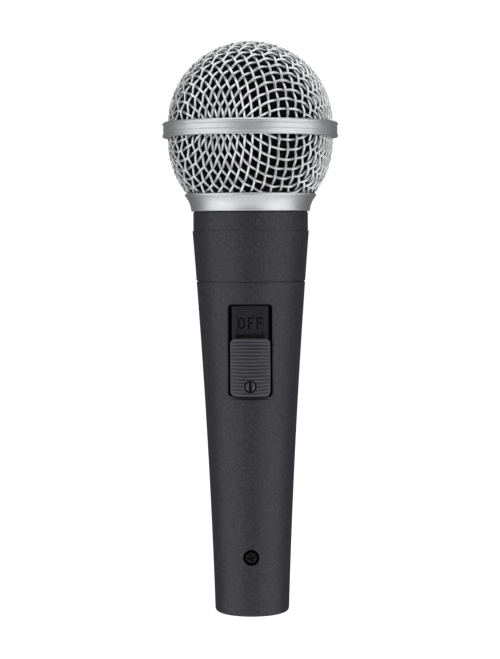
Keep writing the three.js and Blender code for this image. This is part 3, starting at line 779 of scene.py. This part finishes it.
def make_neck():
    """The neck ring, with a real screw thread where the grille collar winds on."""
    low, high, chamfer = SLEEVE_TOP, 116.6, 0.3
    tongue_foot, tongue, tongue_bore, tongue_top = 104, 13.9, 12.8, 111.3
    cup, cup_floor, cup_mouth = 14.6, 112.2, 15.5
    pitch, crest, root, flat = 1.25, 16.1, 15.6, 0.8
    segments, per_turn = 144, 10
    thread_top = NECK_TOP_OF_THREAD
    run_out = thread_top - 0.5
    rows = int((run_out - high) / pitch * per_turn)
    lower = [(tongue_bore, tongue_foot), (tongue, tongue_foot), (tongue, low), (NECK_RADIUS, low),
             (NECK_RADIUS, high - chamfer), (NECK_RADIUS - chamfer, high)]
    thread = [(None, high + (run_out - high) * k / rows) for k in range(rows + 1)]
    upper = [(cup_mouth, thread_top), (cup, thread_top), (cup, cup_floor), (tongue_bore, tongue_top)]
    vertices, faces = [], []
    for radius, z in (*lower, *thread, *upper):
        for k in range(segments):
            angle = 2 * math.pi * k / segments
            around = radius
            if radius is None:
                wave = math.cos(2 * math.pi * (z - high) / pitch - angle)
                around = root + (crest - root) * (max(-flat, min(flat, wave)) / (2 * flat) + 0.5)
            vertices.append((around * math.cos(angle), around * math.sin(angle), z))
    count = len(lower) + len(thread) + len(upper)
    for i in range(count):
        low_row, high_row = i * segments, ((i + 1) % count) * segments
        for k in range(segments):
            after = (k + 1) % segments
            faces.append((low_row + k, low_row + after, high_row + after, high_row + k))
    neck = piece("neck_thread_ring", vertices, faces)
    face_outward(neck)
    install(neck, "handle", "black_coat", MATERIALS["black_coat"], "neck_ring")


# ---- Switch ----------------------------------------------------------------------------------------

RIB_PITCH = 1.0
RIB_DEPTH = 0.62                      # at the slider's middle; less towards its sides
RIB_BOW = 0.05                        # how much nearer the middle the ribs' ends lie
SLIDER_SCREW = SLIDER_MIDDLE - SLIDER[1] / 2 + 2.8
ENGRAVING_DEPTH = 0.9


def slider_top(across, along):
    """Height of the slider's face: round across like the handle, hollow for the thumb, and ribbed."""
    plain_end, ease, side_loss, sharpness = 0.4, 0.5, 0.45, 1.3
    axis_depth = handle_radius(SWITCH_HEIGHT)
    from_middle = along - SLIDER_MIDDLE
    waist = axis_depth + SLIDER_PROUD - SLIDER_DISH * (1 - (2 * from_middle / SLIDER[1]) ** 2)
    face = math.sqrt(waist ** 2 - across ** 2) - axis_depth
    straightened = from_middle * (1 + RIB_BOW * (2 * across / SLIDER[0]) ** 2)
    from_end = SLIDER[1] / 2 - abs(straightened)
    fade = min(1.0, max(0.0, (from_end - plain_end) / ease))
    ribs = 0.5 - 0.5 * math.cos(2 * math.pi * straightened / RIB_PITCH)
    shallowing = 1 - side_loss * abs(2 * across / SLIDER[0])
    return face - RIB_DEPTH * fade * shallowing * ribs ** sharpness


def make_slider():
    """The ribbed thumb piece: a fine grid over its face, and a skirt down to its back."""
    half_w, half_l = SLIDER[0] / 2, SLIDER[1] / 2
    corner, edge, back = 1.5, 0.35, -1.52
    columns, rows, tip = 48, 170, 0.999
    vertices, faces = [], []
    for j in range(rows + 1):
        along = -half_l + 2 * half_l * j / rows
        if j in (0, rows):
            along = half_l * math.sin(math.pi / 2 * (2 * j / rows - 1) * tip)
        beyond = max(0.0, abs(along) - (half_l - corner))
        width = half_w - corner + math.sqrt(max(0.0, corner ** 2 - beyond ** 2))
        for i in range(columns + 1):
            across = width * math.sin(math.pi / 2 * (2 * i / columns - 1))
            inset = min(width - abs(across), half_l - abs(along), edge)
            drop = edge - math.sqrt(max(0.0, edge ** 2 - (edge - inset) ** 2))
            y = SLIDER_MIDDLE + along
            vertices.append(on_switch(across, y, slider_top(across, y) - drop))
    stride = columns + 1
    for j in range(rows):
        for i in range(columns):
            a = j * stride + i
            faces.append((a, a + 1, a + 1 + stride, a + stride))
    rim = [*range(stride), *((j + 1) * stride + columns for j in range(rows)),
           *(rows * stride + i for i in range(columns - 1, -1, -1)),
           *(j * stride for j in range(rows - 1, 0, -1))]
    first = len(vertices)
    for index in rim:
        local = vertices[index] - SWITCH_ORIGIN
        vertices.append(on_switch(local.x, local.dot(SLIDE_AXIS), back))
    for k in range(len(rim)):
        after = (k + 1) % len(rim)
        faces.append((rim[k], first + k, first + after, rim[after]))
    faces.append(tuple(range(first, len(vertices))))
    slider = piece("ribbed_slider", vertices, faces)
    face_outward(slider)
    counterbore, ledge, above, below = 1.8, -0.9, 2, -2
    carve(slider, switch_bar("counterbore", SLIDER_SCREW, [(counterbore, above), (counterbore, ledge)]))
    pocket_width, pocket_length, pocket_middle = 6.8, 9.2, -7.75
    pocket = rounded_rectangle(pocket_width, pocket_length, 0.4, 0, pocket_middle, 3)
    carve(slider, switch_prism("pocket", pocket, ledge, below))
    install(slider, "switch", "grey_plastic", MATERIALS["grey_plastic"], "thumb_slider")


def switch_bar(name, along, stations):
    """A round bar square to the switch's face, through (radius, height) stations."""
    return loft(name, [[on_switch(x, along + y, out) for x, y in circle(r)] for r, out in stations])


def switch_prism(name, outline, top, bottom):
    """An (across, along) outline as a prism square to the switch's face."""
    return loft(name, [[on_switch(x, y, out) for x, y in outline] for out in (top, bottom)])


def make_slider_screw():
    """A slotted screw with a lightly domed edge, whose shank holds the carriage."""
    head, shank, half_slot, slot_reach = 1.38, 0.8, 0.42, 2
    top, under, shank_end, slot_floor = 0.42, -0.85, -1.7, -1.4
    screw = switch_bar("slotted_screw", SLIDER_SCREW, [
        (shank, shank_end), (shank, under - 0.05), (head, under), (head, top - 0.14),
        (head - 0.04, top - 0.06), (head - 0.14, top)])
    slot = [(side * half_slot, SLIDER_SCREW + end * slot_reach)
            for side, end in ((-1, -1), (1, -1), (1, 1), (-1, 1))]
    carve(screw, switch_prism("slot", slot, 1, slot_floor))
    install(screw, "switch", "grey_screw", MATERIALS["grey_screw"], "slider_screw")


def letter_outlines(height, stroke):
    """Plain one-stroke capitals: outlines on a baseline at zero, with their widths."""
    wide, arm, middle, oval = height * 0.5, height * 0.42, height * 0.52, height * 0.61
    letter_f = [(0, 0), (stroke, 0), (stroke, middle - stroke / 2), (arm, middle - stroke / 2),
                (arm, middle + stroke / 2), (stroke, middle + stroke / 2), (stroke, height - stroke),
                (wide, height - stroke), (wide, height), (0, height)]
    lean = stroke * 2.75
    letter_n = [(0, 0), (stroke, 0), (stroke, height - lean), (wide - stroke, 0), (wide, 0),
                (wide, height), (wide - stroke, height), (wide - stroke, lean), (stroke, height),
                (0, height)]
    return {"F": (letter_f, wide), "N": (letter_n, wide), "O": (None, oval)}


def engrave(plate, word, middle, surface):
    """Cuts a word into the plate, one letter at a time."""
    height, stroke, spacing, above = 3.5, 0.52, 0.72, 0.5
    outlines = letter_outlines(height, stroke)
    total = sum(outlines[c][1] for c in word) + spacing * (len(word) - 1)
    x = -total / 2
    bottom = middle - height / 2
    floor = surface - ENGRAVING_DEPTH
    for c in word:
        outline, width = outlines[c]
        if c == "O":
            half_w, half_h = width / 2, height / 2
            rings = [[(x + half_w + (half_w - wall) * u, bottom + half_h + (half_h - wall) * v)
                      for u, v in circle(1, 32)]
                     for wall in (0, stroke)]
            carve(plate, ring_prism(rings, surface + above, floor))
        else:
            points = [(x + px, bottom + py) for px, py in outline]
            carve(plate, switch_prism("letter", points, surface + above, floor))
        x += width + spacing


def ring_prism(outlines, top, bottom):
    """A prism between an outer and an inner outline of the same number of points."""
    outer, inner = outlines
    count = len(outer)
    loops = [(outer, top), (outer, bottom), (inner, bottom), (inner, top)]
    vertices = [on_switch(x, y, d) for loop, d in loops for x, y in loop]
    faces = []
    for i in range(4):
        low, high = i * count, ((i + 1) % 4) * count
        for k in range(count):
            after = (k + 1) % count
            faces.append((low + k, low + after, high + after, high + k))
    body = piece("letter_ring", vertices, faces)
    face_outward(body)
    return body


def make_label_plate():
    """A plate with a rail along each side, the slider's slot, and the words OFF and ON."""
    width, length, offset = 10.3, 25.6, -0.05
    left_rail, right_rail, slope = 1.25, 1.05, 0.15
    floor, rail_top, back, round_over = -2.2, -1.6, -3.2, 0.2
    left, right = offset - width / 2, offset + width / 2
    section = rounded([
        (left, back, 0), (right, back, 0), (right, rail_top, round_over),
        (right - right_rail, rail_top, round_over), (right - right_rail - slope, floor, 0.12),
        (left + left_rail + slope, floor, 0.12), (left + left_rail, rail_top, round_over),
        (left, rail_top, round_over)])
    plate = loft("label_plate", [[on_switch(x, y, out) for x, out in section]
                                 for y in (-length / 2, length / 2)])
    slot_width, slot_length, slot_middle = 2.9, 12.0, -2.75
    slot = rounded_rectangle(slot_width, slot_length, 0.4, 0, slot_middle, 3)
    carve(plate, switch_prism("slot", slot, 0, back - 1.8))
    groove_width, groove_length, groove_depth, lead = 7.6, 1.5, 0.7, 0.35
    groove_middle = SLIDER_MIDDLE + SLIDER[1] / 2 + lead
    groove = rounded_rectangle(groove_width, groove_length, 0.2, offset, groove_middle, 3)
    carve(plate, switch_prism("groove", groove, 0, floor - groove_depth))
    for word, middle in (("OFF", 7.9), ("ON", -10.9)):
        engrave(plate, word, middle, floor)
    install(plate, "handle", "black_plastic", MATERIALS["black_plastic"], "switch_label_plate")


# ---- Base ------------------------------------------------------------------------------------------

def make_set_screw():
    """A small cross-slotted screw, sunk in its hole."""
    radius, shank, face, shoulder, tip = 1.6, 0.8, -10.7, -8.45, -5.6
    half_length, half_slot, slot_depth, first_turn = 1.2, 0.27, 1.1, 17
    screw = bar_along_y("sunk_screw", SET_SCREW_HEIGHT, [
        (radius - 0.22, face), (radius - 0.06, face + 0.06), (radius, face + 0.2), (radius, shoulder),
        (shank, shoulder + 0.05), (shank, tip)])
    for turn in (first_turn, first_turn + 90):
        angle = math.radians(turn)
        along = half_length * Vector((math.cos(angle), math.sin(angle)))
        across = half_slot * Vector((-math.sin(angle), math.cos(angle)))
        corners = [a * along + b * across for a, b in ((-1, -1), (1, -1), (1, 1), (-1, 1))]
        carve(screw, loft("slot", [[(c.x, y, SET_SCREW_HEIGHT + c.y) for c in corners]
                                   for y in (face - 1, face + slot_depth)]))
    install(screw, "handle", "dark_screw", MATERIALS["dark_screw"], "set_screw")


def make_pins():
    """Round-nosed contacts with a solder cup behind, at the places of their solids."""
    axis, nose_stretch, cup_bore, cup_depth = 0.02, 0.9, 0.7, 2.2
    for number in (1, 2, 3):
        low, high = extent(f"contact_pin_{number}")
        middle = (low + high) / 2
        radius = (high.x - low.x) / 2
        nose = [(radius * math.sin(a), low.z + radius * nose_stretch * (1 - math.cos(a)))
                for a in (math.radians(15 * k) for k in range(1, 7))]
        cup_floor = high.z - cup_depth
        pin = revolve(f"contact_{number}", [
            (axis, low.z), *nose, (radius, high.z - 3), (radius, high.z), (cup_bore, high.z),
            (cup_bore, cup_floor), (axis, cup_floor)], 40)
        pin.data.transform(Matrix.Translation((middle.x * MM, middle.y * MM, 0)))
        install(pin, "handle", "silver_contact", MATERIALS["silver_contact"], f"contact_pin_{number}")


def make_insert():
    """The moulded block round the pins, with a raised rim and a pocket for the lug."""
    axis, face, back, radius = 0.02, 14.2, 26.3, 7.85
    rim_width, rim_height, chamfer, hole_radius, play = 1.1, 0.5, 0.7, 1.3, 0.2
    floor, inside = face + rim_height, radius - rim_width
    profile = rounded([
        (axis, floor, 0), (inside, floor, 0.1), (inside, face, 0.12), (radius, face, 0.2),
        (radius, back - chamfer, 0), (radius - chamfer, back, 0), (axis, back, 0)])
    insert = revolve("pin_carrier", profile, 96)
    for number in (1, 2, 3):
        low, high = extent(f"contact_pin_{number}")
        middle = (low + high) / 2
        hole = [(middle.x + x, middle.y + y) for x, y in circle(hole_radius, 32)]
        carve(insert, loft("pin_hole", [[(x, y, z) for x, y in hole] for z in (face - 1, back + 1)]))
    lug_low, lug_high = extent("retaining_lug")
    pocket_half, pocket_front, pocket_end = 2.3, -10, -4.7
    pocket = [(-pocket_half, pocket_front), (pocket_half, pocket_front), (pocket_half, pocket_end),
              (-pocket_half, pocket_end)]
    carve(insert, loft("lug_pocket", [[(x, y, z) for x, y in pocket]
                                      for z in (lug_low.z - play, lug_high.z + play)]))
    install(insert, "handle", "black_plastic", MATERIALS["black_plastic"], "connector_insert")


def make_pieces():
    make_handle()
    make_sleeve()
    make_neck()
    make_collar()
    make_band()
    make_grille()
    make_foam()
    make_label_plate()
    make_slider()
    make_slider_screw()
    make_set_screw()
    make_pins()
    make_insert()


make_camera()
make_lights()
make_floor()
finish_solids()
make_pieces()
bpy.context.scene.view_settings.view_transform = "Standard"
